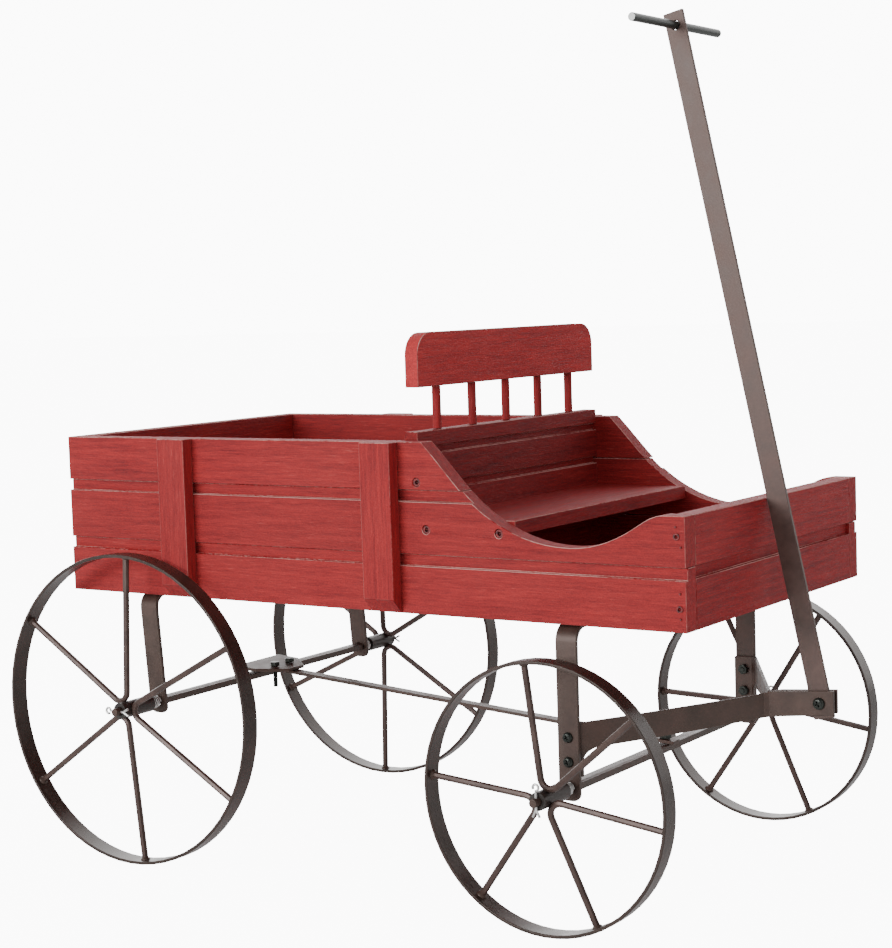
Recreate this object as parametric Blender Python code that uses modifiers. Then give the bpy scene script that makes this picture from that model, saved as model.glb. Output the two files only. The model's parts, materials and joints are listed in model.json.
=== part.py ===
"""Kids pull wagon in the style of a buckboard: a grooved wooden box with a seat, on four band-steel wheels.

Frame: +X points to the front, where the handle is, +Z is up, and the wagon's right side is -Y.
The origin is at the middle of the whole wagon's footprint, on the ground.
Along X, the dimensions below are measured from the rear face of the box; at() moves them into the frame.
"""

from math import acos, atan2, cos, pi, radians, sin, sqrt

import bpy
import bmesh
from mathutils import Matrix, Vector

GAP = 0.0003

# Box: outside dimensions, heights measured from its underside.
BOX_LENGTH = 0.533
BOX_WIDTH = 0.279
BOX_UNDERSIDE_Z = 0.2017
BOARD_THICKNESS = 0.014
FLOOR_THICKNESS = 0.012
BOARD_TOPS = (0.0418, 0.0864, 0.1196)
FRONT_HEIGHT = 0.0750
GROOVE_WIDTH = 0.0080
GROOVE_DEPTH = 0.0030

# The sides' top edge sweeps down from the seat back to the footwell: (x, height, slope).
SWOOP_KNOTS = (
    (0.3320, 0.1196, -0.95),
    (0.3620, 0.0879, -1.02),
    (0.3940, 0.0642, -0.52),
    (0.4480, 0.0512, 0.0),
    (0.4900, 0.0624, 0.53),
    (0.5170, 0.0750, 0.0),
)
SWOOP_STEPS = 6

# Countersunk screw holes in each side: (x, height).
SIDE_HOLES = ((0.3275, 0.0915), (0.3345, 0.0590), (0.3935, 0.0585))
HOLE_RADIUS = 0.0032
HOLE_DEPTH = 0.0022

CLEAT_STARTS = (0.1005, 0.2870)
CLEAT_WIDTH = 0.0255
CLEAT_THICKNESS = 0.010

# Seat: partition, seat board, spindles and back rail.
SEAT_BACK_X = 0.320
SEAT_BACK_THICKNESS = 0.011
PARTITION_TOPS = (0.0878, 0.1143, 0.1253)
PARTITION_GROOVE = 0.0050
SEAT_TOP = 0.0658
SEAT_THICKNESS = 0.010
SEAT_DEPTH = 0.078
SPINDLE_RADIUS = 0.0032
SPINDLE_PITCH = 0.0460
RAIL_BOTTOM = 0.1558
RAIL_HEIGHT = 0.0380
RAIL_LENGTH = 0.244
RAIL_CORNER = 0.016

# Undercarriage.
REAR_AXLE_X = 0.0746
FRONT_AXLE_X = 0.4420
REAR_RADIUS = 0.1179
FRONT_RADIUS = 0.0916
REAR_TRACK = 0.1638
FRONT_TRACK = 0.1677
STRAP_WIDTH = 0.016
STRAP_THICKNESS = 0.003
STRAP_BEND = 0.012
STRAP_FOOT = 0.009
STRAP_CORNER = 0.0055
REAR_STRAP_HALF_SPAN = 0.1325
FRONT_STRAP_HALF_SPAN = 0.1375
REAR_STRAP_LEAN = -0.075
AXLE_BAR_WIDTH = 0.010
AXLE_BAR_HEIGHT = 0.0048
JOURNAL_RADIUS = 0.0030
AXLE_PROJECTION = 0.0062
JOURNAL_ROOT = 0.004

# Wheels: a band rim and a tube hub joined by bent rods.
RIM_WIDTH = 0.0145
RIM_THICKNESS = 0.0024
HUB_LENGTH = 0.0328
HUB_RADIUS = 0.0062
HUB_BORE = 0.0034
HUB_SHIFT = -0.0055
SPRING_RADIUS = 0.0042
SPRING_WIRE = 0.0007
SPRING_TURNS = 3.5
PIN_RADIUS = 0.0009
PIN_FROM_HUB = 0.0017

# Each wheel has three rods, each bent at the hub into two spokes. They stand spread evenly to both sides
# of these angles, in degrees from +X towards +Z.
SPOKE_RADIUS = 0.0024
SPOKE_BEND = 0.0075
SPOKE_OFFSET = 0.003
REAR_SPREAD = 30
FRONT_SPREAD = 29
ROD_TURNS = {
    "rear_right": (118.5, 244.5, 358.4),
    "rear_left": (60.0, 176.0, 299.5),
    "front_right": (70.0, 205.0, 323.0),
    "front_left": (86.0, 207.0, 323.0),
}

# Tongue arms, handle and its pivot.
PIVOT_X = 0.5705
PIVOT_Z = 0.1381
PIVOT_RADIUS = 0.0025
PIVOT_HEAD_RADIUS = 0.0042
PIVOT_HEAD_HEIGHT = 0.0024
PIVOT_NUT_RADIUS = 0.0046
PIVOT_NUT_HEIGHT = 0.0038
HANDLE_Y = -0.017
HANDLE_WIDTH = 0.0148
HANDLE_THICKNESS = 0.003
HANDLE_REACH = 0.4815
HANDLE_TAIL = 0.011
GRIP_RADIUS = 0.0029
GRIP_LENGTH = 0.1276
GRIP_FROM_TOP = 0.0095
BOLT_RADIUS = 0.0020
BOLT_HEAD_RADIUS = 0.0036
BOLT_HEAD_HEIGHT = 0.0020
BOLT_END = 0.0050

# Tongue arms, seen from the side as (x, height above the ground).
ARM_THICKNESS = 0.0025
ARM_NOSE = 0.0103
ARM_BEND_X = 0.4512
ARM_CREASE_X = 0.5310
ARM_BOLTS_Z = (0.1092, 0.1258)
ARM_FOOT_Z = 0.0990
ARM_FILLET = 0.0095
FRONT_X = PIVOT_X + ARM_NOSE
ARM_TOP = ((FRONT_X, 0.1474), (0.5400, 0.1441), (0.5250, 0.1412), (0.4700, 0.1371), (0.4330, 0.1350))
ARM_BOTTOM = ((0.4900, 0.1208), (0.5270, 0.1246), (0.5400, 0.1264), (FRONT_X, 0.1311))

# Reach bar and its plate, measured along the bar from the rear axle.
REACH_WIDTH = 0.010
REACH_THICKNESS = 0.0025
REACH_OVERHANG = 0.009
REACH_LIFT = 0.0010
PLATE_OUTLINE = ((-0.009, 0.028), (0.012, 0.028), (0.032, 0.010))

REAR_X = REAR_AXLE_X - REAR_RADIUS
ORIGIN_X = (REAR_X + FRONT_X) / 2
SIDES = (("right", -1), ("left", 1))
INNER_HALF = BOX_WIDTH / 2 - BOARD_THICKNESS

RED = (0.36, 0.035, 0.035, 1.0)
STEEL = (0.060, 0.040, 0.032, 1.0)
ZINC = (0.62, 0.62, 0.60, 1.0)


def start_clean():
    for old in list(bpy.data.objects):
        bpy.data.objects.remove(old, do_unlink=True)


def make_collection(name):
    collection = bpy.data.collections.new(name)
    bpy.context.scene.collection.children.link(collection)
    return collection


def make_material(name, colour, roughness, metallic):
    material = bpy.data.materials.new(name)
    material.use_nodes = True
    shader = material.node_tree.nodes["Principled BSDF"]
    shader.inputs["Base Color"].default_value = colour
    shader.inputs["Roughness"].default_value = roughness
    shader.inputs["Metallic"].default_value = metallic
    return material


def at(x, y, z):
    return (x - ORIGIN_X, y, z)


def place(obj, collection, material=None):
    for owner in list(obj.users_collection):
        owner.objects.unlink(obj)
    collection.objects.link(obj)
    if material is not None:
        obj.data.materials.clear()
        obj.data.materials.append(material)
    return obj


def make_part(obj, kind):
    colour, roughness, metallic = kind
    return place(obj, parts, make_material(obj.name, colour, roughness, metallic))


def make_cutter(obj):
    obj.hide_render = True
    obj.display_type = "WIRE"
    return place(obj, cutters)


def box(name, low, high):
    """A box between two corners, given with x from the box's rear face."""
    bpy.ops.mesh.primitive_cube_add(size=1)
    obj = bpy.context.object
    obj.name = name
    size = [b - a for a, b in zip(low, high)]
    middle = [(a + b) / 2 for a, b in zip(low, high)]
    obj.data.transform(Matrix.Diagonal((*size, 1)))
    obj.location = at(*middle)
    return obj


def rod(name, radius, length, location, rotation=(0, 0, 0), sides=16):
    bpy.ops.mesh.primitive_cylinder_add(vertices=sides, radius=radius, depth=length)
    obj = bpy.context.object
    obj.name = name
    obj.location = location
    obj.rotation_euler = rotation
    smooth(obj)
    return obj


def smooth(obj):
    obj.data.shade_smooth()
    obj.data.set_sharp_from_angle(angle=radians(35))


def curve_to_mesh(obj):
    """Replaces a curve object by a mesh with its caps welded."""
    bpy.context.view_layer.update()
    evaluated = obj.evaluated_get(bpy.context.evaluated_depsgraph_get())
    mesh = bpy.data.meshes.new_from_object(evaluated)
    work = bmesh.new()
    work.from_mesh(mesh)
    bmesh.ops.remove_doubles(work, verts=work.verts, dist=1e-6)
    work.to_mesh(mesh)
    work.free()
    name = obj.name
    solid = bpy.data.objects.new(name, mesh)
    solid.matrix_world = obj.matrix_world
    bpy.context.scene.collection.objects.link(solid)
    bpy.data.objects.remove(obj, do_unlink=True)
    solid.name = name
    return solid


def outline(name, points, thickness, location=(0, 0, 0), rotation=(0, 0, 0)):
    """A flat outline in local XY, extruded evenly to both sides of its plane."""
    data = bpy.data.curves.new(name, "CURVE")
    data.dimensions = "2D"
    data.fill_mode = "BOTH"
    data.extrude = thickness / 2
    spline = data.splines.new("POLY")
    spline.points.add(len(points) - 1)
    for point, (x, y) in zip(spline.points, points):
        point.co = (x, y, 0, 1)
    spline.use_cyclic_u = True
    obj = bpy.data.objects.new(name, data)
    bpy.context.scene.collection.objects.link(obj)
    obj.location = location
    obj.rotation_euler = rotation
    return curve_to_mesh(obj)


SIDE_VIEW = (pi / 2, 0, 0)
FRONT_VIEW = (pi / 2, 0, pi / 2)


def wire(name, points, radius, location, rotation):
    data = bpy.data.curves.new(name, "CURVE")
    data.dimensions = "3D"
    data.bevel_depth = radius
    data.bevel_resolution = 2
    data.use_fill_caps = True
    spline = data.splines.new("POLY")
    spline.points.add(len(points) - 1)
    for point, place_ in zip(spline.points, points):
        point.co = (*place_, 1)
    obj = bpy.data.objects.new(name, data)
    bpy.context.scene.collection.objects.link(obj)
    obj.location = location
    obj.rotation_euler = rotation
    return curve_to_mesh(obj)


def turned(name, profile, location, rotation, steps=32, closed=False):
    """A profile of (radius, height) points, from the top down its outer side, turned about local Z."""
    mesh = bpy.data.meshes.new(name)
    work = bmesh.new()
    points = [work.verts.new((r, 0, z)) for r, z in profile]
    for a, b in zip(points, points[1:]):
        work.edges.new((a, b))
    if closed:
        work.edges.new((points[-1], points[0]))
    work.to_mesh(mesh)
    work.free()
    obj = bpy.data.objects.new(name, mesh)
    bpy.context.scene.collection.objects.link(obj)
    screw = obj.modifiers.new("turn", "SCREW")
    screw.axis = "Z"
    screw.steps = steps
    screw.render_steps = steps
    screw.use_merge_vertices = True
    screw.merge_threshold = 0.00001
    obj.location = location
    obj.rotation_euler = rotation
    return curve_to_mesh(obj)


def boolean(obj, tool, operation="DIFFERENCE"):
    if tool.name not in cutters.objects:
        make_cutter(tool)
    modifier = obj.modifiers.new(tool.name, "BOOLEAN")
    modifier.operation = operation
    modifier.object = tool
    modifier.solver = "EXACT"
    return obj


def arc(centre, radius, start, end, steps):
    """Points on an arc in the plane, angles in degrees."""
    angles = [radians(start + (end - start) * i / steps) for i in range(steps + 1)]
    return [(centre[0] + radius * cos(a), centre[1] + radius * sin(a)) for a in angles]


def band(path, thickness):
    """The outline of a strip of even thickness along an open path, mitred at its bends."""
    left = []
    right = []
    for i, (x, y) in enumerate(path):
        x0, y0 = path[max(i - 1, 0)]
        x1, y1 = path[min(i + 1, len(path) - 1)]
        before = atan2(y - y0, x - x0) if i > 0 else atan2(y1 - y, x1 - x)
        after = atan2(y1 - y, x1 - x) if i < len(path) - 1 else before
        turn = (after - before + pi) % (2 * pi) - pi
        normal = before + turn / 2 + pi / 2
        half = thickness / 2 / cos(turn / 2)
        left.append((x + half * cos(normal), y + half * sin(normal)))
        right.append((x - half * cos(normal), y - half * sin(normal)))
    return left + right[::-1]


def swoop_points():
    points = []
    for (x0, z0, m0), (x1, z1, m1) in zip(SWOOP_KNOTS, SWOOP_KNOTS[1:]):
        width = x1 - x0
        for i in range(SWOOP_STEPS):
            t = i / SWOOP_STEPS
            z = (2 * t**3 - 3 * t**2 + 1) * z0 + (t**3 - 2 * t**2 + t) * width * m0
            z += (3 * t**2 - 2 * t**3) * z1 + (t**3 - t**2) * width * m1
            points.append((x0 + t * width, z))
    points.append(SWOOP_KNOTS[-1][:2])
    return points


def make_swoop_cutter():
    start = SWOOP_KNOTS[0][0]
    beyond = BOX_LENGTH + 0.05
    above = BOARD_TOPS[-1] + 0.05
    points = swoop_points() + [(beyond, FRONT_HEIGHT), (beyond, above), (start, above)]
    cutter = outline("swoop_cutter", points, BOX_WIDTH + 0.02, at(0, 0, BOX_UNDERSIDE_Z), SIDE_VIEW)
    return make_cutter(cutter)


def board_levels(tops):
    """(name, bottom, top) for boards stacked with a fine gap between them."""
    names = ("bottom", "middle", "top")
    bottoms = (0.0, *tops)
    return [(name, low, top - GAP) for name, low, top in zip(names, bottoms, tops)]


def make_side_boards(swoop):
    for side, sign in SIDES:
        outer = sign * BOX_WIDTH / 2
        inner = sign * INNER_HALF
        for level, low, top in board_levels(BOARD_TOPS):
            y0, y1 = sorted((outer, inner))
            z0 = BOX_UNDERSIDE_Z + low
            z1 = BOX_UNDERSIDE_Z + top
            board = box(f"side_board_{side}_{level}", (0, y0, z0), (BOX_LENGTH, y1, z1))
            if level != "top":
                y0, y1 = sorted((outer + sign * 0.001, outer - sign * GROOVE_DEPTH))
                low_corner = (-0.001, y0, z1 - GROOVE_WIDTH)
                groove = box(f"groove_{side}_{level}", low_corner, (BOX_LENGTH + 0.001, y1, z1 + 0.001))
                boolean(board, groove)
            if level != "bottom":
                boolean(board, swoop)
            for number, (x, height) in enumerate(SIDE_HOLES):
                if low < height < top:
                    centre = at(x, outer, BOX_UNDERSIDE_Z + height)
                    name = f"screw_hole_{side}_{number}"
                    boolean(board, rod(name, HOLE_RADIUS, 2 * HOLE_DEPTH, centre, (pi / 2, 0, 0), 12))
            make_part(board, WOOD)


def make_end_boards():
    half = INNER_HALF - GAP
    for end, face, direction, tops in (
        ("front", BOX_LENGTH, 1, (BOARD_TOPS[0], FRONT_HEIGHT)),
        ("rear", 0.0, -1, BOARD_TOPS),
    ):
        for level, low, top in board_levels(tops):
            if end == "front" and level == "middle":
                level = "top"
            x0, x1 = sorted((face, face - direction * BOARD_THICKNESS))
            z0 = BOX_UNDERSIDE_Z + low
            z1 = BOX_UNDERSIDE_Z + top
            board = box(f"{end}_board_{level}", (x0, -half, z0), (x1, half, z1))
            if top < tops[-1] - 2 * GAP:
                x0, x1 = sorted((face + direction * 0.001, face - direction * GROOVE_DEPTH))
                low_corner = (x0, -half - 0.001, z1 - GROOVE_WIDTH)
                groove = box(f"groove_{end}_{level}", low_corner, (x1, half + 0.001, z1 + 0.001))
                boolean(board, groove)
            make_part(board, WOOD)


def make_floor():
    """Two floor boards, with the seat's partition standing between them."""
    half = INNER_HALF - GAP
    z1 = BOX_UNDERSIDE_Z + FLOOR_THICKNESS
    partition = SEAT_BACK_X - SEAT_BACK_THICKNESS
    for end, x0, x1 in (
        ("rear", BOARD_THICKNESS, partition),
        ("front", SEAT_BACK_X, BOX_LENGTH - BOARD_THICKNESS),
    ):
        board = box(f"floor_board_{end}", (x0 + GAP, -half, BOX_UNDERSIDE_Z), (x1 - GAP, half, z1))
        make_part(board, WOOD)


def make_cleats():
    height = BOARD_TOPS[-1] - GAP
    profile = [(0, 0), (0, height), (CLEAT_THICKNESS, height), (CLEAT_THICKNESS, CLEAT_THICKNESS)]
    for side, sign in SIDES:
        for end, start in zip(("rear", "middle"), CLEAT_STARTS):
            middle = start + CLEAT_WIDTH / 2
            points = [(sign * (BOX_WIDTH / 2 + GAP + depth), z) for depth, z in profile]
            location = at(middle, 0, BOX_UNDERSIDE_Z)
            cleat = outline(f"cleat_{side}_{end}", points, CLEAT_WIDTH, location, FRONT_VIEW)
            make_part(cleat, WOOD)


def make_seat():
    half = INNER_HALF - GAP
    front = SEAT_BACK_X
    rear = front - SEAT_BACK_THICKNESS
    for level, low, top in board_levels(PARTITION_TOPS):
        z0 = BOX_UNDERSIDE_Z + low
        z1 = BOX_UNDERSIDE_Z + top
        board = box(f"partition_board_{level}", (rear, -half, z0), (front, half, z1))
        if level != "top":
            low_corner = (front - GROOVE_DEPTH, -half - 0.001, z1 - PARTITION_GROOVE)
            groove = box(f"groove_partition_{level}", low_corner, (front + 0.001, half + 0.001, z1 + 0.001))
            boolean(board, groove)
        make_part(board, WOOD)
    seat_top = BOX_UNDERSIDE_Z + SEAT_TOP
    low_corner = (front + GAP, -half, seat_top - SEAT_THICKNESS)
    make_part(box("seat_board", low_corner, (front + SEAT_DEPTH, half, seat_top)), WOOD)

    middle = front - SEAT_BACK_THICKNESS / 2
    spindle_base = BOX_UNDERSIDE_Z + PARTITION_TOPS[-1]
    rail_base = BOX_UNDERSIDE_Z + RAIL_BOTTOM
    length = rail_base - spindle_base - GAP
    for number in range(5):
        y = (number - 2) * SPINDLE_PITCH
        centre = at(middle, y, spindle_base + length / 2)
        make_part(rod(f"spindle_{number + 1}", SPINDLE_RADIUS, length, centre, sides=16), WOOD)

    side = RAIL_LENGTH / 2
    corner = side - RAIL_CORNER
    shoulder = RAIL_HEIGHT - RAIL_CORNER
    points = [(-side, 0), (side, 0)]
    points += arc((corner, shoulder), RAIL_CORNER, 0, 90, 8)
    points += arc((-corner, shoulder), RAIL_CORNER, 90, 180, 8)
    rail = outline("back_rail", points, SEAT_BACK_THICKNESS, at(middle, 0, rail_base), FRONT_VIEW)
    make_part(rail, WOOD)


def make_strap(end, axle_x, axle_z, half_span, lean, bolts):
    """An inverted U of flat bar under the floor, its legs leaning and reaching down past the axle."""
    top = BOX_UNDERSIDE_Z - GAP - STRAP_THICKNESS / 2
    foot = axle_z - STRAP_FOOT
    side = half_span - STRAP_THICKNESS / 2
    bend = STRAP_BEND - STRAP_THICKNESS / 2
    path = [(-side, foot)] + arc((-side + bend, top - bend), bend, 180, 90, 6)
    path += arc((side - bend, top - bend), bend, 90, 0, 6) + [(side, foot)]
    points = band(path, STRAP_THICKNESS)
    strap = outline(f"{end}_strap", points, 3 * STRAP_WIDTH, at(axle_x, 0, 0), FRONT_VIEW)
    half = STRAP_WIDTH / 2
    corner = half - STRAP_CORNER
    above = BOX_UNDERSIDE_Z + STRAP_FOOT
    shape = arc((-corner, foot + STRAP_CORNER), STRAP_CORNER, 180, 270, 5)
    shape += arc((corner, foot + STRAP_CORNER), STRAP_CORNER, 270, 360, 5)
    shape += [(half, above), (-half, above)]
    shape = [(x + lean * (z - axle_z), z) for x, z in shape]
    profile = outline(f"{end}_strap_profile", shape, BOX_WIDTH, at(axle_x, 0, 0), SIDE_VIEW)
    boolean(strap, profile, "INTERSECT")
    hole = JOURNAL_RADIUS + GAP
    boolean(strap, rod(f"{end}_axle_hole", hole, BOX_WIDTH, at(axle_x, 0, axle_z), (pi / 2, 0, 0)))
    for number, z in enumerate(bolts):
        name = f"{end}_strap_bolt_hole_{number}"
        boolean(strap, rod(name, BOLT_RADIUS + GAP, BOX_WIDTH, at(axle_x, 0, z), (pi / 2, 0, 0), 12))
    make_part(strap, PAINTED)


def make_axle(end, axle_x, axle_z, half_span, hub_centre, pin_turn):
    """A flat bar between the strap's legs, with a round journal at each end."""
    half = half_span - STRAP_THICKNESS - GAP
    tip = hub_centre + HUB_LENGTH / 2 + AXLE_PROJECTION
    x0 = axle_x - AXLE_BAR_WIDTH / 2
    z0 = axle_z - AXLE_BAR_HEIGHT / 2
    high = (axle_x + AXLE_BAR_WIDTH / 2, half, axle_z + AXLE_BAR_HEIGHT / 2)
    axle = box(f"{end}_axle", (x0, -half, z0), high)
    pin_y = hub_centre + HUB_LENGTH / 2 + PIN_FROM_HUB
    inner = half - JOURNAL_ROOT
    for side, sign in SIDES:
        centre = at(axle_x, sign * (inner + tip) / 2, axle_z)
        journal = rod(f"{end}_{side}_journal", JOURNAL_RADIUS, tip - inner, centre, (pi / 2, 0, 0))
        boolean(axle, journal, "UNION")
        centre = at(axle_x, sign * pin_y, axle_z)
        name = f"{end}_{side}_pin_hole"
        boolean(axle, rod(name, PIN_RADIUS + GAP, 4 * JOURNAL_RADIUS, centre, (0, pin_turn, 0), 12))
    make_part(axle, PAINTED)


def make_rim(name, radius, location, rotation):
    half = RIM_WIDTH / 2
    inner = radius - RIM_THICKNESS
    profile = ((radius, half), (radius, -half), (inner, -half), (inner, half))
    rim = turned(f"{name}_rim", profile, location, rotation, steps=64, closed=True)
    smooth(rim)
    make_part(rim, PAINTED)


def bent_rod(name, turn, spread, reach, location, rotation):
    """One rod bent round the hub into two spokes that stand spread to both sides of the turn."""
    along = Matrix.Rotation(radians(turn), 4, "Z")
    side = radians(spread)
    flat = [(reach * cos(side), -reach * sin(side))]
    flat += arc((SPOKE_BEND / sin(side), 0), SPOKE_BEND, 270 - spread, 90 + spread, 8)
    flat += [(reach * cos(side), reach * sin(side))]
    points = []
    for x, y in flat:
        offset = SPOKE_OFFSET * (1 - sqrt(x * x + y * y) / reach)
        points.append(along @ Vector((x, y, offset)))
    return wire(name, points, SPOKE_RADIUS, location, rotation)


def make_hub(name, radius, location, rotation, turns, spread):
    """A tube hub joined with its bent rods."""
    outer = HUB_SHIFT + HUB_LENGTH / 2
    inner = HUB_SHIFT - HUB_LENGTH / 2
    profile = ((HUB_RADIUS, outer), (HUB_RADIUS, inner), (HUB_BORE, inner), (HUB_BORE, outer))
    hub = turned(f"{name}_hub", profile, location, rotation, steps=24, closed=True)
    reach = radius - RIM_THICKNESS - 1.5 * GAP
    for number, turn in enumerate(turns):
        rod_ = bent_rod(f"{name}_rod_{number}", turn, spread, reach, location, rotation)
        boolean(hub, rod_, "UNION")
    smooth(hub)
    make_part(hub, PAINTED)


def make_spring(name, axle_x, axle_z, sign, inner, outer):
    length = outer - inner - 2 * SPRING_WIRE - 2 * GAP
    per_turn = 10
    count = round(SPRING_TURNS * per_turn)
    points = []
    for i in range(count + 1):
        angle = 2 * pi * i / per_turn
        points.append((SPRING_RADIUS * cos(angle), SPRING_RADIUS * sin(angle), length * i / count))
    start = inner + SPRING_WIRE + GAP
    spring = wire(name, points, SPRING_WIRE, at(axle_x, sign * start, axle_z), (-sign * pi / 2, 0, 0))
    smooth(spring)
    make_part(spring, BRIGHT)


def make_split_pin(name, location, turn):
    """An eye on one side of the axle, a leg through it and two splayed tips on the other side."""
    eye = 0.0022
    top = 0.0075
    fork = -0.0048
    tip = (0.0026, 0, -0.0100)
    points = [(x, 0, z) for x, z in arc((0, top + eye), eye, 210, -90, 8)]
    points += [(0, 0, 0), (0, 0, fork), tip]
    pin = wire(name, points, PIN_RADIUS, location, (0, turn, 0))
    second = [(0, 0, fork / 2), (0, 0, fork), (-tip[0], 0, tip[2])]
    tips = wire(f"{name}_second_tip", second, 0.97 * PIN_RADIUS, location, (0, turn, 0))
    boolean(pin, tips, "UNION")
    smooth(pin)
    make_part(pin, BRIGHT)


def make_running_gear():
    rear = (REAR_AXLE_X, REAR_RADIUS, REAR_TRACK, REAR_STRAP_HALF_SPAN, REAR_SPREAD)
    front = (FRONT_AXLE_X, FRONT_RADIUS, FRONT_TRACK, FRONT_STRAP_HALF_SPAN, FRONT_SPREAD)
    for end, measures, lean, bolts, pin_turn in (
        ("rear", rear, REAR_STRAP_LEAN, (), -pi / 2),
        ("front", front, 0, ARM_BOLTS_Z, 0),
    ):
        axle_x, radius, track, half_span, spread = measures
        hub_centre = track + HUB_SHIFT
        make_strap(end, axle_x, radius, half_span, lean, bolts)
        make_axle(end, axle_x, radius, half_span, hub_centre, pin_turn)
        for side, sign in SIDES:
            location = at(axle_x, sign * track, radius)
            rotation = (-sign * pi / 2, 0, 0)
            name = f"{end}_{side}"
            turns = [-sign * turn for turn in ROD_TURNS[name]]
            make_rim(name, radius, location, rotation)
            make_hub(name, radius, location, rotation, turns, spread)
            outer = hub_centre - HUB_LENGTH / 2
            make_spring(f"{name}_spring", axle_x, radius, sign, half_span, outer)
            pin_y = sign * (hub_centre + HUB_LENGTH / 2 + PIN_FROM_HUB)
            make_split_pin(f"{name}_split_pin", at(axle_x, pin_y, radius), pin_turn)


def make_reach():
    """The reach bar lies on both axle bars, with a plate on it over the rear one."""
    half_bar = AXLE_BAR_HEIGHT / 2
    lift = half_bar + REACH_LIFT + REACH_THICKNESS / 2
    run = FRONT_AXLE_X - REAR_AXLE_X
    drop = REAR_RADIUS - FRONT_RADIUS
    tilt = atan2(drop, run)
    half = REACH_WIDTH / 2
    length = run / cos(tilt) + REACH_OVERHANG
    bar = [(-REACH_OVERHANG, -half), (length, -half), (length, half), (-REACH_OVERHANG, half)]
    location = at(REAR_AXLE_X, 0, REAR_RADIUS + lift)
    make_part(outline("reach_bar", bar, REACH_THICKNESS, location, (0, tilt, 0)), PAINTED)
    plate = list(PLATE_OUTLINE) + [(x, -y) for x, y in reversed(PLATE_OUTLINE)]
    location = at(REAR_AXLE_X, 0, REAR_RADIUS + lift + REACH_THICKNESS + GAP)
    make_part(outline("reach_plate", plate, REACH_THICKNESS, location, (0, tilt, 0)), PAINTED)


def make_arms():
    """Two arms bent from plate: a flange on the strap's leg, then in and forward to the pivot."""
    heel = FRONT_AXLE_X - STRAP_WIDTH / 2
    leg_inside = FRONT_STRAP_HALF_SPAN - STRAP_THICKNESS - GAP - ARM_THICKNESS / 2
    nose_gap = HANDLE_THICKNESS / 2 + GAP + ARM_THICKNESS / 2
    ease = 0.0025
    fillet_x = ARM_BEND_X - 0.001
    fillet_z = ARM_BOTTOM[0][1] - 0.0022 - ARM_FILLET
    for side, sign in SIDES:
        nose_y = HANDLE_Y + sign * nose_gap
        slope = (leg_inside - sign * nose_y) / (ARM_CREASE_X - ARM_BEND_X)
        path = [
            (heel, sign * leg_inside),
            (ARM_BEND_X - ease, sign * leg_inside),
            (ARM_BEND_X + ease / 2, sign * (leg_inside - slope * ease / 2)),
            (ARM_CREASE_X - ease / 2, nose_y + sign * slope * ease / 2),
            (ARM_CREASE_X + ease, nose_y),
            (FRONT_X, nose_y),
        ]
        points = band(path, ARM_THICKNESS)
        arm = outline(f"{side}_tongue_arm", points, 0.060, at(0, 0, 0.120), (0, 0, 0))
        shape = [(heel, ARM_FOOT_Z), (fillet_x, ARM_FOOT_Z)]
        shape += arc((fillet_x + ARM_FILLET, fillet_z), ARM_FILLET, 180, 90, 6)
        shape += list(ARM_BOTTOM) + list(ARM_TOP)
        shape = [(x + 0.001, z) if x == FRONT_X else (x, z) for x, z in shape]
        profile = outline(f"{side}_arm_profile", shape, BOX_WIDTH, at(0, 0, 0), SIDE_VIEW)
        boolean(arm, profile, "INTERSECT")
        pivot = at(PIVOT_X, HANDLE_Y, PIVOT_Z)
        boolean(arm, rod(f"{side}_arm_pivot_hole", PIVOT_RADIUS + GAP, 0.04, pivot, (pi / 2, 0, 0)))
        for number, z in enumerate(ARM_BOLTS_Z):
            centre = at(FRONT_AXLE_X, sign * leg_inside, z)
            name = f"{side}_arm_bolt_hole_{number}"
            boolean(arm, rod(name, BOLT_RADIUS + GAP, 0.02, centre, (pi / 2, 0, 0), 12))
        make_part(arm, PAINTED)


def screw_bolt(name, shank, length, head, head_height, location, rotation):
    """A pan-head bolt: its head's underside at local z = 0, its shank below."""
    profile = [(0, head_height), (0.55 * head, 0.94 * head_height), (0.86 * head, 0.68 * head_height)]
    profile += [(head, 0.2 * head_height), (head, 0), (shank, 0), (shank, -length), (0, -length)]
    bolt = turned(name, profile, location, rotation, steps=16)
    smooth(bolt)
    make_part(bolt, PAINTED)


def make_bolts():
    shank = STRAP_THICKNESS + ARM_THICKNESS + BOLT_END
    for side, sign in SIDES:
        for level, z in zip(("lower", "upper"), ARM_BOLTS_Z):
            location = at(FRONT_AXLE_X, sign * (FRONT_STRAP_HALF_SPAN + GAP), z)
            rotation = (-sign * pi / 2, 0, 0)
            name = f"{side}_{level}_tongue_bolt"
            screw_bolt(name, BOLT_RADIUS, shank, BOLT_HEAD_RADIUS, BOLT_HEAD_HEIGHT, location, rotation)
    outside = HANDLE_THICKNESS / 2 + ARM_THICKNESS + 2 * GAP
    location = at(PIVOT_X, HANDLE_Y - outside, PIVOT_Z)
    rotation = (pi / 2, 0, 0)
    length = 2 * outside + PIVOT_NUT_HEIGHT + 2 * GAP
    head = (PIVOT_HEAD_RADIUS, PIVOT_HEAD_HEIGHT)
    screw_bolt("handle_pivot_bolt", PIVOT_RADIUS, length, *head, location, rotation)
    location = at(PIVOT_X, HANDLE_Y + outside + PIVOT_NUT_HEIGHT / 2, PIVOT_Z)
    nut = rod("handle_pivot_nut", PIVOT_NUT_RADIUS, PIVOT_NUT_HEIGHT, location, rotation, 6)
    boolean(nut, rod("pivot_nut_hole", PIVOT_RADIUS + GAP, 2 * PIVOT_NUT_HEIGHT, location, rotation))
    make_part(nut, PAINTED)


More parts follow.
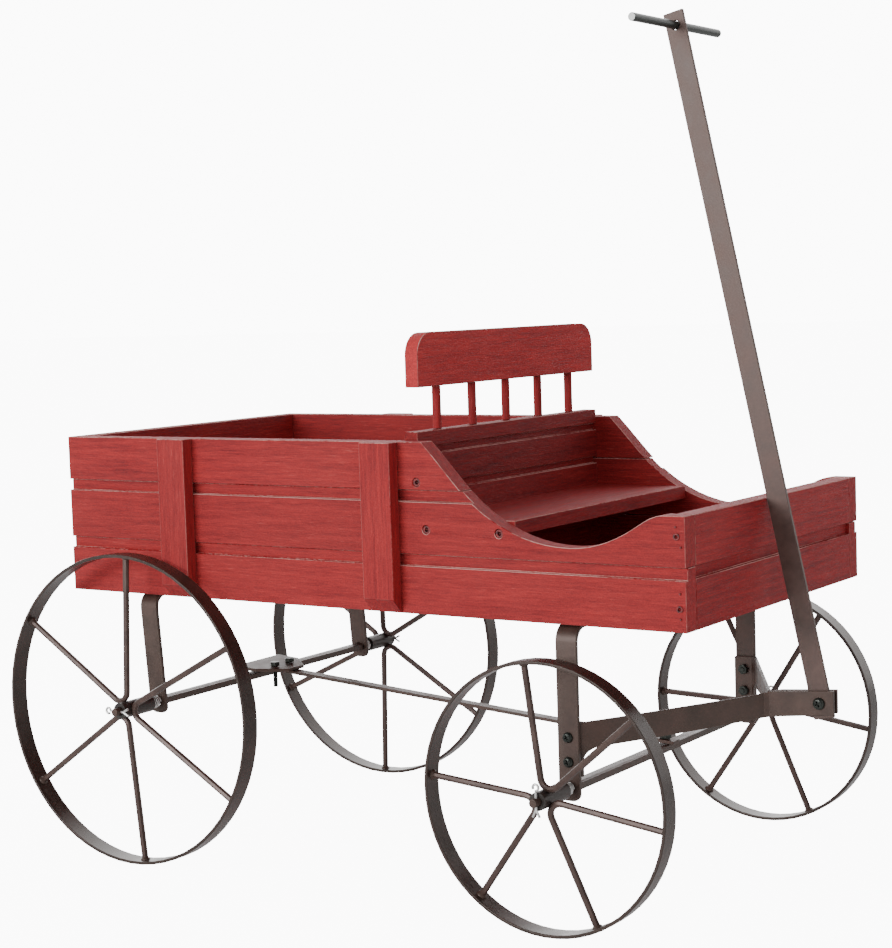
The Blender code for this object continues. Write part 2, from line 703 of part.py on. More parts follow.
def handle_lean():
    """The angle from upright at which the bar's rear edge rests on the front board's top corner."""
    across = PIVOT_X - BOX_LENGTH
    up = BOX_UNDERSIDE_Z + FRONT_HEIGHT - PIVOT_Z
    clear = HANDLE_WIDTH / 2 + GAP
    return acos(clear / sqrt(across**2 + up**2)) - atan2(up, across)


def make_handle():
    lean = handle_lean()
    pivot = at(PIVOT_X, HANDLE_Y, PIVOT_Z)
    half = HANDLE_WIDTH / 2
    points = [(-half, -HANDLE_TAIL), (half, -HANDLE_TAIL), (half, HANDLE_REACH), (-half, HANDLE_REACH)]
    bar = outline("handle_bar", points, HANDLE_THICKNESS, pivot, SIDE_VIEW)
    turn = Matrix.Rotation(-lean, 4, "Y")
    bar.matrix_world = Matrix.Translation(pivot) @ turn @ Matrix.Rotation(pi / 2, 4, "X")
    boolean(bar, rod("bar_pivot_hole", PIVOT_RADIUS + GAP, 0.02, pivot, (pi / 2, 0, 0)))
    grip_height = HANDLE_REACH - GRIP_FROM_TOP
    grip_at = (pivot[0] - sin(lean) * grip_height, HANDLE_Y, PIVOT_Z + cos(lean) * grip_height)
    boolean(bar, rod("bar_grip_hole", GRIP_RADIUS + GAP, 0.02, grip_at, (pi / 2, 0, 0)))
    make_part(bar, PAINTED)
    make_part(rod("cross_grip", GRIP_RADIUS, GRIP_LENGTH, grip_at, (pi / 2, 0, 0)), PAINTED)


WOOD = (RED, 0.55, 0.0)
PAINTED = (STEEL, 0.42, 0.5)
BRIGHT = (ZINC, 0.30, 1.0)

start_clean()
parts = make_collection("kids_pull_wagon")
cutters = make_collection("cutters")
swoop_cutter = make_swoop_cutter()
make_side_boards(swoop_cutter)
make_end_boards()
make_floor()
make_cleats()
make_seat()
make_running_gear()
make_reach()
make_arms()
make_bolts()
make_handle()
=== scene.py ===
"""Looks for the kids pull wagon: a stained wooden box, painted steel running gear and zinc springs and pins.

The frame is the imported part's own: +X to the front, +Z up, origin on the ground in the footprint's middle.
"""

import json
import math
import random

import bmesh
import bpy
from mathutils import Matrix, Vector


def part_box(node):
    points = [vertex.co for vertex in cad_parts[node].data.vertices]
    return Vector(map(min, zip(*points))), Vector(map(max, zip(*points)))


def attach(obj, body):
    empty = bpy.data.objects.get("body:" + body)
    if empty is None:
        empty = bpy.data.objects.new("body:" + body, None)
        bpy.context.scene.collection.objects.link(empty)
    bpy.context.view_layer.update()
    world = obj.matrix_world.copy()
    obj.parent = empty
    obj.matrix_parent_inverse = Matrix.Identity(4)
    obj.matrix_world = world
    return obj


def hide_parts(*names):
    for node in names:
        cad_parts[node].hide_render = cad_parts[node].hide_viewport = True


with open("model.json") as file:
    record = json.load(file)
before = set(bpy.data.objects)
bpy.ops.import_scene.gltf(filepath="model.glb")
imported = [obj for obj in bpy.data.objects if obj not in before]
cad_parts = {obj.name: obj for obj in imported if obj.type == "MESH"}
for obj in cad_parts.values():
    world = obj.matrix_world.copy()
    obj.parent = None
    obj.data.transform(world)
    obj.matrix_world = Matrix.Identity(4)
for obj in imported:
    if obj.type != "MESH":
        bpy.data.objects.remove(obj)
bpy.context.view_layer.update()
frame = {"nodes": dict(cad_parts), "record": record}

# Metres and degrees. Positions along X below are measured from the rear face of the box.
BOX_REAR_X = -0.26875
BOX_HALF_WIDTH = 0.1395
BOX_UNDERSIDE_Z = 0.2017

BODY_OF = {}
for body_name, members in frame["record"]["behaviour"]["bodies"].items():
    for member in members:
        BODY_OF[member] = body_name


# ---------------------------------------------------------------- shader helpers


class Nodes:
    """A material's node tree with short ways to add and join nodes."""

    def __init__(self, name):
        self.material = bpy.data.materials.new(name)
        self.material.use_nodes = True
        self.tree = self.material.node_tree
        self.shader = self.tree.nodes["Principled BSDF"]

    def add(self, kind, inputs=None, **settings):
        node = self.tree.nodes.new(kind)
        for key, value in settings.items():
            setattr(node, key, value)
        for key, value in (inputs or {}).items():
            self.put(node.inputs[key], value)
        return node

    def put(self, socket, value):
        if isinstance(value, bpy.types.NodeSocket):
            self.tree.links.new(value, socket)
        elif isinstance(value, bpy.types.Node):
            self.tree.links.new(value.outputs[0], socket)
        else:
            socket.default_value = value

    def math(self, operation, a, b=0.0):
        return self.add("ShaderNodeMath", {0: a, 1: b}, operation=operation).outputs[0]

    def mix(self, factor, a, b):
        node = self.add("ShaderNodeMix", data_type="RGBA")
        self.put(node.inputs["Factor"], factor)
        self.put(node.inputs[6], a)
        self.put(node.inputs[7], b)
        return node.outputs[2]

    def spread(self, value, low, high, to_low=0.0, to_high=1.0):
        """A value's stretch from low to high mapped onto another, and held at its ends."""
        node = self.add("ShaderNodeMapRange", {"Value": value, "From Min": low, "From Max": high})
        node.inputs["To Min"].default_value = to_low
        node.inputs["To Max"].default_value = to_high
        node.clamp = True
        return node.outputs[0]

    def coords(self, scale=(1, 1, 1), offset=(0, 0, 0)):
        """Object coordinates, scaled and moved."""
        source = self.add("ShaderNodeTexCoord").outputs["Object"]
        mapping = self.add("ShaderNodeMapping", {"Vector": source, "Scale": scale, "Location": offset})
        return mapping.outputs[0]

    def noise(self, coords, scale, detail=3.0, roughness=0.55, distortion=0.0):
        inputs = {"Vector": coords, "Scale": scale, "Detail": detail, "Roughness": roughness}
        inputs["Distortion"] = distortion
        return self.add("ShaderNodeTexNoise", inputs).outputs["Fac"]

    def bump(self, height, strength, distance):
        inputs = {"Height": height, "Strength": strength, "Distance": distance}
        return self.add("ShaderNodeBump", inputs).outputs[0]

    def finish(self, colour, roughness, metallic=0.0, normal=None, specular=0.5):
        self.put(self.shader.inputs["Base Color"], colour)
        self.put(self.shader.inputs["Roughness"], roughness)
        self.put(self.shader.inputs["Metallic"], metallic)
        self.put(self.shader.inputs["Specular IOR Level"], specular)
        if normal is not None:
            self.put(self.shader.inputs["Normal"], normal)
        return self.material


GRAIN_STRETCH = {"x": (0.045, 1, 1), "y": (1, 0.045, 1), "z": (1, 1, 0.045)}


def grain_coords(nodes, axis, seed, stretch=1.0):
    """Coordinates drawn out along a board's grain and moved to a place of its own."""
    scale = [value if value == 1 else value * stretch for value in GRAIN_STRETCH[axis]]
    shift = random.Random(seed)
    offset = [shift.uniform(-3, 3) for _ in range(3)]
    return nodes.coords(tuple(scale), tuple(offset))


def make_stained_wood(name, axis, seed, tone_and_shade=1.0):
    """Red stain brushed along the grain of rough softwood, streaky, speckled and rubbed in places."""
    n = Nodes(name)
    along = grain_coords(n, axis, seed)
    fine = n.noise(along, 1500, 4, 0.7)
    broad = n.noise(along, 330, 3, 0.6, 0.3)
    speck = n.noise(n.coords(), 1300, 3, 0.7)
    cloud = n.noise(n.coords(offset=(seed * 0.37, seed * 0.11, seed * 0.23)), 14, 3)
    streak = n.math("ADD", n.math("MULTIPLY", fine, 0.45), n.math("MULTIPLY", broad, 0.30))
    streak = n.math("ADD", streak, n.math("MULTIPLY", speck, 0.25))
    # The tone factor scales every colour: a small random shift for most pieces, and painted shade on the
    # partition boards.
    deep = (0.135 * tone_and_shade, 0.008 * tone_and_shade, 0.012 * tone_and_shade, 1)
    light = (0.490 * tone_and_shade, 0.034 * tone_and_shade, 0.034 * tone_and_shade, 1)
    washed = (0.490 * tone_and_shade, 0.050 * tone_and_shade, 0.046 * tone_and_shade, 1)
    colour = n.mix(n.spread(streak, 0.36, 0.62), deep, light)
    colour = n.mix(n.spread(cloud, 0.35, 0.75, 0.0, 0.30), colour, washed)
    rubbed = n.math("MULTIPLY", n.spread(fine, 0.60, 0.72), n.spread(cloud, 0.44, 0.60))
    colour = n.mix(n.math("MULTIPLY", rubbed, 0.40), colour, (0.62, 0.20, 0.17, 1))
    normal = n.bump(streak, 0.75, 0.0008)
    roughness = n.spread(fine, 0.3, 0.7, 0.52, 0.72)
    return n.finish(colour, roughness, normal=normal, specular=0.25)


def make_worn_lit_and_shaded_edge(name, axis, seed):
    """Edges rubbed through to pale wood in uneven stretches, the pale wood kept mostly to upward-facing
    edges as painted highlight, and the stain darkened on downward-facing edges as painted shade.
    """
    n = Nodes(name)
    along = grain_coords(n, axis, seed, 3.0)
    patch = n.noise(along, 60, 4, 0.6)
    fleck = n.noise(n.coords(), 420, 3, 0.6)
    bare = n.math("ADD", n.math("MULTIPLY", patch, 0.7), n.math("MULTIPLY", fleck, 0.3))
    facing = n.add("ShaderNodeTexCoord").outputs["Normal"]
    parts = n.add("ShaderNodeSeparateXYZ", {"Vector": facing})
    # Painted highlight: the pale rubbed-through colour is held mostly to edges facing upwards, where light
    # falls on them.
    lit_upward = n.spread(parts.outputs[2], -0.15, 0.35, 0.12, 1.0)
    amount = n.math("MULTIPLY", n.spread(bare, 0.38, 0.56), lit_upward)
    # Painted shade: edges facing downwards take a much darker stain.
    shaded_downward = n.spread(parts.outputs[2], -0.75, -0.25, 1.0, 0.0)
    stain_and_shade = n.mix(shaded_downward, (0.30, 0.010, 0.013, 1), (0.055, 0.002, 0.003, 1))
    colour = n.mix(amount, stain_and_shade, (0.72, 0.38, 0.34, 1))
    return n.finish(colour, 0.75, normal=n.bump(fleck, 0.4, 0.0004), specular=0.2)


def make_painted_steel(name, tint=(0.082, 0.052, 0.041), roughness=0.40, coarse=0.12):
    """Satin bronze-brown paint with a faint orange-peel and slightly uneven sheen."""
    n = Nodes(name)
    place = n.coords()
    mottle = n.noise(place, 55, 4, 0.6)
    peel = n.noise(place, 1500, 2, 0.5)
    dark = tuple(0.72 * c for c in tint) + (1,)
    pale = (1.25 * tint[0], 1.18 * tint[1], 1.18 * tint[2], 1)
    colour = n.mix(n.spread(mottle, 0.3, 0.7), dark, pale)
    sheen = n.spread(mottle, 0.3, 0.7, roughness - 0.06, roughness + 0.08)
    return n.finish(colour, sheen, metallic=0.25, normal=n.bump(peel, coarse, 0.0003))


def make_hub_paint(name, centre_x, centre_z):
    """Brown paint on the spokes and a darker tube at the middle."""
    n = Nodes(name)
    place = n.coords()
    mottle = n.noise(place, 55, 4, 0.6)
    colour = n.mix(n.spread(mottle, 0.3, 0.7), (0.066, 0.040, 0.034, 1), (0.120, 0.076, 0.064, 1))
    parts = n.add("ShaderNodeSeparateXYZ", {"Vector": place})
    across = n.math("SUBTRACT", parts.outputs[0], centre_x)
    above = n.math("SUBTRACT", parts.outputs[2], centre_z)
    squares = n.math("ADD", n.math("MULTIPLY", across, across), n.math("MULTIPLY", above, above))
    radius = n.math("SQRT", squares)
    tube = n.spread(radius, 0.0060, 0.0070, 1.0, 0.0)
    colour = n.mix(tube, colour, (0.040, 0.034, 0.031, 1))
    peel = n.noise(place, 1500, 2, 0.5)
    return n.finish(colour, 0.36, metallic=0.25, normal=n.bump(peel, 0.12, 0.0003))


def make_zinc(name):
    """Bright zinc plate with a faint mottle."""
    n = Nodes(name)
    mottle = n.noise(n.coords(), 260, 3, 0.6)
    colour = n.mix(n.spread(mottle, 0.3, 0.7), (0.62, 0.62, 0.61, 1), (0.88, 0.88, 0.86, 1))
    return n.finish(colour, n.spread(mottle, 0.3, 0.7, 0.34, 0.48), metallic=0.85)


def make_fastener(name):
    """Dark greenish-black screws and bolts, lightly worn."""
    n = Nodes(name)
    mottle = n.noise(n.coords(), 500, 3, 0.6)
    colour = n.mix(n.spread(mottle, 0.35, 0.7), (0.018, 0.022, 0.019, 1), (0.060, 0.066, 0.058, 1))
    return n.finish(colour, 0.30, metallic=0.6)


def make_stained_screw(name):
    """Screws brushed over with the red stain, dark in their recesses."""
    n = Nodes(name)
    mottle = n.noise(n.coords(), 700, 3, 0.6)
    colour = n.mix(n.spread(mottle, 0.40, 0.66), (0.055, 0.004, 0.006, 1), (0.30, 0.020, 0.020, 1))
    return n.finish(colour, 0.45, metallic=0.1)


def make_grip_paint(name):
    """Nearly black grip with bare cut ends."""
    n = Nodes(name)
    facing = n.add("ShaderNodeTexCoord").outputs["Normal"]
    parts = n.add("ShaderNodeSeparateXYZ", {"Vector": facing})
    end = n.spread(n.math("ABSOLUTE", parts.outputs[1]), 0.90, 0.96)
    colour = n.mix(end, (0.030, 0.034, 0.030, 1), (0.42, 0.43, 0.42, 1))
    return n.finish(colour, 0.33, metallic=0.3)


# ---------------------------------------------------------------- shape helpers


def clean_copy(node, name):
    """A copy of a CAD node's mesh with its flat faces joined again, ready for bevelling."""
    obj = bpy.data.objects.new(name, frame["nodes"][node].data.copy())
    bpy.context.scene.collection.objects.link(obj)
    work = bmesh.new()
    work.from_mesh(obj.data)
    bmesh.ops.remove_doubles(work, verts=work.verts, dist=2e-6)
    bmesh.ops.dissolve_limit(work, angle_limit=math.radians(1.0), verts=work.verts, edges=work.edges)
    work.to_mesh(obj.data)
    work.free()
    obj.data.materials.clear()
    return obj


def bevelled(node, suffix, width, materials, segments=2, angle=40, edge_material=False, smooth=35):
    """A CAD node with rounded edges, which take the second material where asked."""
    obj = clean_copy(node, f"{node}_{suffix}")
    for material in materials:
        obj.data.materials.append(material)
    for polygon in obj.data.polygons:
        polygon.material_index = 0
    obj.data.shade_smooth()
    obj.data.set_sharp_from_angle(angle=math.radians(smooth))
    bevel = obj.modifiers.new("edges", "BEVEL")
    bevel.width = width
    bevel.segments = segments
    bevel.limit_method = "ANGLE"
    bevel.angle_limit = math.radians(angle)
    bevel.harden_normals = True
    bevel.use_clamp_overlap = False
    if edge_material:
        bevel.material = 1
    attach(obj, BODY_OF[node])
    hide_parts(node)
    return obj


def add_piece(obj, body, material):
    """Fits an added piece with its material, body and slot."""
    obj.data.materials.clear()
    obj.data.materials.append(material)
    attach(obj, body)
    return obj


def mesh_object(name, work):
    """An object made of a working mesh, shaded smooth except at its sharp edges."""
    mesh = bpy.data.meshes.new(name)
    bmesh.ops.recalc_face_normals(work, faces=work.faces)
    work.to_mesh(mesh)
    work.free()
    obj = bpy.data.objects.new(name, mesh)
    bpy.context.scene.collection.objects.link(obj)
    mesh.shade_smooth()
    mesh.set_sharp_from_angle(angle=math.radians(40))
    return obj


def ring(work, radius, z, sides):
    angles = [i * (2 * math.pi / sides) for i in range(sides)]
    return [work.verts.new((radius * math.cos(angle), radius * math.sin(angle), z)) for angle in angles]


def bridge(work, low, high):
    """Faces between two closed loops of as many points."""
    count = len(low)
    for i in range(count):
        j = (i + 1) % count
        work.faces.new((low[i], low[j], high[j], high[i]))


def cross_ring(work, length, width, z):
    """A closed loop in the shape of a cross, from half its length and half its arms' width."""
    corners = [(width, width), (width, length), (-width, length), (-width, width), (-length, width)]
    corners += [(-length, -width), (-width, -width), (-width, -length), (width, -length)]
    corners += [(width, -width), (length, -width), (length, width)]
    return [work.verts.new((x, y, z)) for x, y in corners]


def loop_edges(work, verts):
    """The edges of a closed loop, made where they are missing."""
    pairs = zip(verts, verts[1:] + verts[:1])
    return [work.edges.get(pair) or work.edges.new(pair) for pair in pairs]


def screw_head(name, radius, height, pan=True):
    """A cross-recessed screw head standing on z = 0."""
    work = bmesh.new()
    sides = 24
    base = ring(work, radius, 0, sides)
    if pan:
        rings = [base, ring(work, radius, 0.35 * height, sides)]
        rings.append(ring(work, 0.88 * radius, 0.75 * height, sides))
        rings.append(ring(work, 0.68 * radius, height, sides))
    else:
        rings = [base, ring(work, radius, 0.8 * height, sides), ring(work, 0.93 * radius, height, sides)]
    for low, high in zip(rings, rings[1:]):
        bridge(work, low, high)
    work.faces.new(base[::-1])
    top = rings[-1]
    cross = cross_ring(work, 0.52 * radius, 0.13 * radius, height)
    edges = loop_edges(work, top) + loop_edges(work, cross)
    bmesh.ops.triangle_fill(work, use_beauty=True, use_dissolve=False, edges=edges)
    inside = [face for face in work.faces if all(vert in cross for vert in face.verts)]
    bmesh.ops.delete(work, geom=inside, context="FACES_ONLY")
    floor = cross_ring(work, 0.34 * radius, 0.10 * radius, 0.35 * height)
    bridge(work, cross, floor)
    work.faces.new(floor)
    return mesh_object(name, work)


def nut(name, across, height):
    """A chamfered hexagon nut standing on z = 0."""
    work = bmesh.new()
    corner = across / math.sqrt(3)
    rings = [ring(work, 0.90 * corner, 0, 6), ring(work, corner, 0.12 * height, 6)]
    rings += [ring(work, corner, 0.88 * height, 6), ring(work, 0.90 * corner, height, 6)]
    for low, high in zip(rings, rings[1:]):
        bridge(work, low, high)
    work.faces.new(rings[0][::-1])
    work.faces.new(rings[-1])
    return mesh_object(name, work)


THREAD_PITCH = 0.0007


def threaded_end(name, radius, length):
    """A bolt's end with turned threads, standing on z = 0."""
    work = bmesh.new()
    sides = 16
    turns = max(2, int(length / THREAD_PITCH))
    rings = []
    for i in range(turns):
        rings.append(ring(work, radius, i * THREAD_PITCH, sides))
        rings.append(ring(work, 0.86 * radius, (i + 0.5) * THREAD_PITCH, sides))
    rings.append(ring(work, 0.80 * radius, turns * THREAD_PITCH, sides))
    for low, high in zip(rings, rings[1:]):
        bridge(work, low, high)
    work.faces.new(rings[0][::-1])
    work.faces.new(rings[-1])
    return mesh_object(name, work)


def aim(obj, place, direction, turn=0.0):
    """Puts an object's z = 0 at a place with its +Z along a direction."""
    rotation = Vector(direction).to_track_quat("Z", "Y").to_matrix().to_4x4()
    obj.matrix_world = Matrix.Translation(place) @ rotation @ Matrix.Rotation(turn, 4, "Z")
    return obj


def at(x, y, z):
    """A place measured from the rear face of the box."""
    return Vector((BOX_REAR_X + x, y, z))


# ---------------------------------------------------------------- wood

WOOD_WORDS = ("board", "cleat", "spindle", "back_rail")
WOOD_NODES = [name for name in frame["nodes"] if any(word in name for word in WOOD_WORDS)]
# Colour factors for some boards: the partition boards are darkened to 0.75 as painted shade, and the back
# rail is made 1.5 times lighter.
BOARD_TONES_AND_SHADE = {"back": 1.5, "partition_board": 0.75}
BOARD_EDGE = 0.00045
SPINDLE_EDGE = 0.0003


def grain_axis(name):
    """Boards run along X or Y, cleats and spindles upright."""
    if name.startswith(("side_board", "floor_board")):
        return "x"
    if name.startswith(("cleat", "spindle")):
        return "z"
    return "y"


def dress_wood():
    """Every wooden piece with rounded edges, its own grain and a tone of its own: near its neighbours' for
    most, 1.5 times lighter on the back rail, and darkened as painted shade on the partition boards.
    """
    for number, name in enumerate(sorted(WOOD_NODES)):
        axis = grain_axis(name)
        tone_and_shade = (1.0 + 0.05 * math.sin(number * 2.4)) * BOARD_TONES_AND_SHADE.get(name.rsplit("_", 1)[0], 1.0)
        stain_and_shade = make_stained_wood(f"{name}_stain", axis, number, tone_and_shade)
        worn_lit_and_shaded = make_worn_lit_and_shaded_edge(f"{name}_worn", axis, number)
        width = SPINDLE_EDGE if "spindle" in name else BOARD_EDGE
        bevelled(name, "wood", width, (stain_and_shade, worn_lit_and_shaded), segments=3, edge_material=True)


# ---------------------------------------------------------------- steel

# The middle direction of each bent spoke rod, in degrees from +X towards +Z, and how far its two spokes
# spread to both sides of it.
WHEEL_RODS = {
    "rear_right": ((118.5, 244.5, 358.4), 30),
    "rear_left": ((60.0, 176.0, 299.5), 30),
    "front_right": ((70.0, 205.0, 323.0), 29),
    "front_left": ((86.0, 207.0, 323.0), 29),
}


def dress_steel():
    """Paint, zinc and rounded edges for the running gear and the handle."""
    paint = make_painted_steel("bronze_paint")
    # The handle's paint is tinted lighter than the running gear's as painted reflection.
    handle_paint = make_painted_steel("handle_paint", (0.120, 0.080, 0.068), 0.48)
    rim_paint = make_painted_steel("rim_paint", (0.055, 0.037, 0.030), 0.27)
    fastener = make_fastener("fastener_black")
    zinc = make_zinc("bright_zinc")
    grip = make_grip_paint("grip_black")
    for name, node in frame["nodes"].items():
        if name in WOOD_NODES:
            continue
        node.data.materials.clear()
        if name.endswith("_rim"):
            bevelled(name, "band", 0.0006, (rim_paint,), angle=50)
        elif name.endswith("_hub"):
            low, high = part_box(name.replace("_hub", "_rim"))
            middle = (low + high) / 2
            node.data.materials.append(make_hub_paint(f"{name}_paint", middle.x, middle.z))
        elif name.endswith(("_spring", "_split_pin")):
            node.data.materials.append(zinc)
        elif name.endswith("_bolt"):
            cross_bolt(name, fastener)
        elif name.endswith("_nut"):
            node.data.materials.append(fastener)
        elif name == "cross_grip":
            bevelled(name, "paint", 0.0004, (grip,), angle=50)
        elif name == "handle_bar":
            bevelled(name, "paint", 0.0005, (handle_paint,))
        elif name.endswith("_arm"):
            bevelled(name, "paint", 0.0004, (paint,), angle=60, smooth=12)
        else:
            bevelled(name, "paint", 0.0005, (paint,))
    return paint, fastener


# Each bolt's head height and thread radius.
PIVOT_BOLT = (0.0024, 0.0025)
TONGUE_BOLT = (0.0020, 0.0020)
# How much shorter a drawn shank is than the bolt, so that its end stays inside the bolt's box.
SHANK_SHORTER = 0.0005


def cross_bolt(name, material):
    """A cross-recessed pan-head bolt in the place of a plain one."""
    low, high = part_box(name)
    middle = (low + high) / 2
    height, thread_radius = PIVOT_BOLT if "pivot" in name else TONGUE_BOLT
    sign = 1 if name.startswith("left") else -1
    face = (high.y if sign > 0 else -low.y) - height
    place = (middle.x, sign * face, middle.z)
    head = screw_head(f"{name}_head", (high.x - low.x) / 2, height)
    aim(head, place, (0, sign, 0), 0.5)
    add_piece(head, "wagon", material)
    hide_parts(name)
    length = high.y - low.y - height - SHANK_SHORTER
    shank = threaded_end(f"{name}_shank", thread_radius, length)
    aim(shank, place, (0, -sign, 0))
    add_piece(shank, "wagon", material)


RIM_THICKNESS = 0.0024
# A weld bead from the rim inwards: how far each of its rings lies off the rim, and its radius.
BEAD_RINGS = ((0.0, 0.0037), (0.0007, 0.0035), (0.0014, 0.0029), (0.0019, 0.00235))
BEAD_SIDES = 14
BEAD_WOBBLE = 0.0002


def add_welds(paint):
    """Small weld beads where each spoke meets its rim."""
    for wheel, (turns, spread) in WHEEL_RODS.items():
        low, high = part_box(f"{wheel}_rim")
        middle = (low + high) / 2
        reach = (high.z - low.z) / 2 - RIM_THICKNESS
        work = bmesh.new()
        wobble = random.Random(wheel)
        for turn in turns:
            for angle in (math.radians(turn - spread), math.radians(turn + spread)):
                outward = Vector((math.cos(angle), 0, math.sin(angle)))
                sideways = Vector((-math.sin(angle), 0, math.cos(angle)))
                loops = []
                for lift, radius in BEAD_RINGS:
                    loop = []
                    for i in range(BEAD_SIDES):
                        around = 2 * math.pi * i / BEAD_SIDES
                        size = radius + wobble.uniform(-BEAD_WOBBLE, BEAD_WOBBLE)
                        place = middle + outward * (reach - lift)
                        place += sideways * (size * math.cos(around))
                        place += Vector((0, size * math.sin(around), 0))
                        loop.append(work.verts.new(place))
                    loops.append(loop)
                for first, second in zip(loops, loops[1:]):
                    bridge(work, first, second)
                work.faces.new(loops[0])
                work.faces.new(loops[-1])
        add_piece(mesh_object(f"{wheel}_weld_beads", work), f"{wheel}_wheel", paint)


# Fastenings on each side of the box: how far along it they sit and how high above its underside.
CLEAT_SCREWS = ((0.3275, 0.0915), (0.3345, 0.0590), (0.3935, 0.0585))
CORNER_SCREWS = ((0.5269, 0.0618), (0.5283, 0.0153))
CORNER_NAILS = ((0.5264, 0.0681), (0.5300, 0.0550), (0.5288, 0.0253), (0.5290, 0.0088))
SCREW_SUNK = 0.0022
FLUSH_SUNK = 0.0004


def add_wood_screws(fastener):
    """Countersunk screws in the sides' holes and the nails and screws at the front corners."""
    for side, sign in (("right", -1), ("left", 1)):
        outward = (0, sign, 0)
        for number, (x, height) in enumerate(CLEAT_SCREWS):
            screw = screw_head(f"{side}_cleat_screw_{number}", 0.0030, 0.0014, False)
            place = at(x, sign * (BOX_HALF_WIDTH - SCREW_SUNK), BOX_UNDERSIDE_Z + height)
            add_piece(aim(screw, place, outward, 0.4 + number), "wagon", fastener)
        for number, (x, height) in enumerate(CORNER_SCREWS):
            screw = screw_head(f"{side}_corner_screw_{number}", 0.0024, 0.0011, False)
            place = at(x, sign * (BOX_HALF_WIDTH - FLUSH_SUNK), BOX_UNDERSIDE_Z + height)
            add_piece(aim(screw, place, outward, number + 0.2), "wagon", fastener)
        for number, (x, height) in enumerate(CORNER_NAILS):
            nail = threaded_end(f"{side}_corner_nail_{number}", 0.0008, 0.0007)
            place = at(x, sign * (BOX_HALF_WIDTH - FLUSH_SUNK), BOX_UNDERSIDE_Z + height)
            add_piece(aim(nail, place, outward), "wagon", fastener)


STRAP_HALF_SPAN = 0.1375
STRAP_THICKNESS = 0.003
ARM_THICKNESS = 0.0025
FIT_GAP = 0.0003
NUT_SUNK = 0.0001
SMALL_NUT = 0.0070
PLATE_THICKNESS = 0.0025
PLATE_GAP = 0.0005
PLATE_NUTS_X = 0.092
PLATE_NUTS_Y = 0.0095
REACH_BOLT_RADIUS = 0.0019
# The reach plate's two bolts hang down by different lengths.
REACH_BOLT_LENGTHS = {"right": 0.0150, "left": 0.0070}
FRONT_AXLE_X = 0.4420
FRONT_NUT_LIFT = 0.0035


def add_tongue_nuts(fastener):
    """Nuts against the inner faces of the tongue arms, one behind each bolt."""
    inner_face = STRAP_HALF_SPAN - STRAP_THICKNESS - FIT_GAP - ARM_THICKNESS
    for side, sign in (("right", -1), ("left", 1)):
        for level in ("lower", "upper"):
            low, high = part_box(f"{side}_{level}_tongue_bolt")
            middle = (low + high) / 2
            place = Vector((middle.x, sign * (inner_face - NUT_SUNK), middle.z))
            piece = aim(nut(f"{side}_{level}_tongue_nut", SMALL_NUT, 0.0030), place, (0, -sign, 0), 0.3)
            add_piece(piece, "wagon", fastener)


def add_reach_bolts(fastener):
    """Two bolts through the sloping reach plate, and the nut at the front end of the reach bar."""
    low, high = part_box("reach_plate")
    x = BOX_REAR_X + PLATE_NUTS_X
    slope = (high.x - x) / (high.x - low.x) * (high.z - low.z - PLATE_THICKNESS)
    top = low.z + PLATE_GAP + slope + PLATE_THICKNESS
    for side, sign in (("right", -1), ("left", 1)):
        y = sign * PLATE_NUTS_Y
        piece = aim(nut(f"{side}_reach_nut", SMALL_NUT, 0.0032), Vector((x, y, top)), (0, 0, 1), 0.2)
        add_piece(piece, "wagon", fastener)
        shank = threaded_end(f"{side}_reach_bolt", REACH_BOLT_RADIUS, REACH_BOLT_LENGTHS[side])
        aim(shank, Vector((x, y, top - PLATE_THICKNESS)), (0, 0, -1))
        add_piece(shank, "wagon", fastener)
    low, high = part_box("reach_bar")
    place = at(FRONT_AXLE_X, 0, low.z + FRONT_NUT_LIFT)
    piece = aim(nut("front_reach_nut", 0.0075, 0.0034), place, (0, 0, 1), 0.2)
    add_piece(piece, "wagon", fastener)


# ---------------------------------------------------------------- camera, floor and light


# The camera's place, and where it stands as azimuth, elevation and roll in degrees.
CAMERA_PLACE = (1.1202, -1.2817, 0.4202)
CAMERA_ANGLES = (34.174, 4.996, -1.858)


def add_camera():
    """A long lens from the front right, a little above the wagon."""
    azimuth, elevation, roll = (math.radians(angle) for angle in CAMERA_ANGLES)
    outward = Vector((math.sin(azimuth), -math.cos(azimuth), 0))
    back = outward * math.cos(elevation) + Vector((0, 0, math.sin(elevation)))
    right = Vector((math.cos(azimuth), math.sin(azimuth), 0))
    up = back.cross(right)
    x_axis = right * math.cos(roll) + up * math.sin(roll)
    y_axis = -right * math.sin(roll) + up * math.cos(roll)
    data = bpy.data.cameras.new("camera")
    data.sensor_width = 36
    data.lens = 77.1
    data.shift_x = 0.0101
    data.clip_end = 50
    camera = bpy.data.objects.new("camera", data)
    bpy.context.scene.collection.objects.link(camera)
    rotation = Matrix((x_axis, y_axis, back)).transposed().to_4x4()
    camera.matrix_world = Matrix.Translation(at(*CAMERA_PLACE)) @ rotation
    bpy.context.scene.camera = camera


LIGHT_TARGET = Vector((0, 0, 0.25))


def add_area_light(name, place, size, power):
    """A white rectangular light turned to the wagon's middle."""
    data = bpy.data.lights.new(name, "AREA")
    data.shape = "RECTANGLE"
    data.size, data.size_y = size
    data.energy = power
    light = bpy.data.objects.new(name, data)
    bpy.context.scene.collection.objects.link(light)
    direction = LIGHT_TARGET - Vector(place)
    light.matrix_world = Matrix.Translation(place) @ direction.to_track_quat("-Z", "Y").to_matrix().to_4x4()


def by_ray(tree, camera, glossy, other):
    """A value that differs for what the camera sees, what is mirrored and what lights the object."""
    path = tree.nodes.new("ShaderNodeLightPath")
    value = other
    for output, chosen in (("Is Glossy Ray", glossy), ("Is Camera Ray", camera)):
        mix = tree.nodes.new("ShaderNodeMix")
        tree.links.new(path.outputs[output], mix.inputs[0])
        for socket, item in ((mix.inputs[2], value), (mix.inputs[3], chosen)):
            if isinstance(item, bpy.types.NodeSocket):
                tree.links.new(item, socket)
            else:
                socket.default_value = item
        value = mix.outputs[0]
    return value


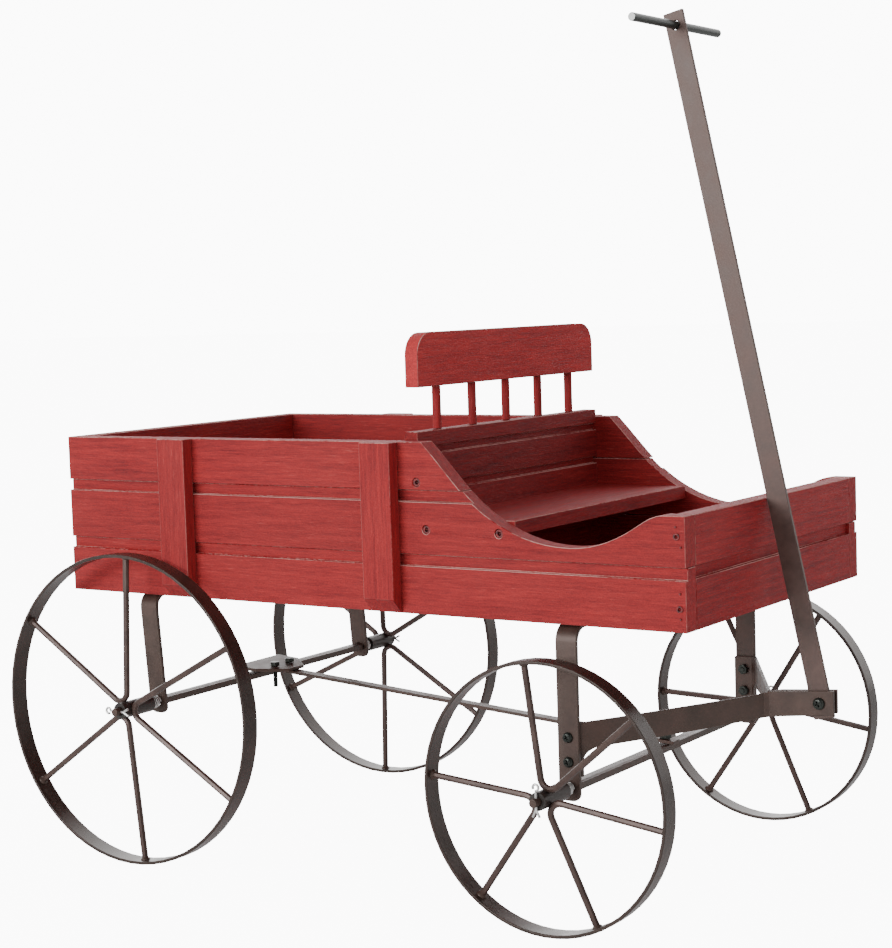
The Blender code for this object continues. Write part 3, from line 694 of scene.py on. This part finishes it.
# How brightly the floor and the world glow for the camera, for mirrors and for the light they give.
FLOOR_GLOW = (10.0, 0.25, 0.0)
WORLD_SEEN = 11.0
WORLD_LIGHT = 0.42
# Mirrors see a bright backdrop behind the object: paint and zinc show it where they are seen edge on.
BACKDROP_SIDE = (-0.56, 0.82, 0.10)
BACKDROP_RANGE = {"From Min": 0.15, "From Max": 0.80, "To Min": 0.28, "To Max": 3.0}


def add_floor():
    bpy.ops.mesh.primitive_plane_add(size=40, location=(0, 0, -0.0005))
    floor = bpy.context.object
    floor.name = "studio_floor"
    n = Nodes("studio_floor_white")
    n.put(n.shader.inputs["Emission Color"], (1, 1, 1, 1))
    n.put(n.shader.inputs["Emission Strength"], by_ray(n.tree, *FLOOR_GLOW))
    floor.data.materials.append(n.finish((0.93, 0.93, 0.93, 1), 0.75))


def add_world():
    world = bpy.data.worlds.new("studio")
    world.use_nodes = True
    tree = world.node_tree
    background = tree.nodes["Background"]
    background.inputs["Color"].default_value = (1, 1, 1, 1)
    toward = tree.nodes.new("ShaderNodeVectorMath")
    toward.operation = "DOT_PRODUCT"
    tree.links.new(tree.nodes.new("ShaderNodeTexCoord").outputs["Generated"], toward.inputs[0])
    toward.inputs[1].default_value = BACKDROP_SIDE
    backdrop = tree.nodes.new("ShaderNodeMapRange")
    tree.links.new(toward.outputs["Value"], backdrop.inputs["Value"])
    for key, value in BACKDROP_RANGE.items():
        backdrop.inputs[key].default_value = value
    strength = by_ray(tree, WORLD_SEEN, backdrop.outputs[0], WORLD_LIGHT)
    tree.links.new(strength, background.inputs["Strength"])
    bpy.context.scene.world = world


# ---------------------------------------------------------------- assembly

dress_wood()
paint, fastener = dress_steel()
add_wood_screws(make_stained_screw("stained_screw"))
add_welds(paint)
add_tongue_nuts(fastener)
add_reach_bolts(fastener)
add_camera()
add_floor()
add_world()
add_area_light("key", (-0.9, -3.0, 1.0), (1.8, 1.2), 72)
add_area_light("fill", (2.6, -0.9, 1.2), (1.2, 1.2), 7)
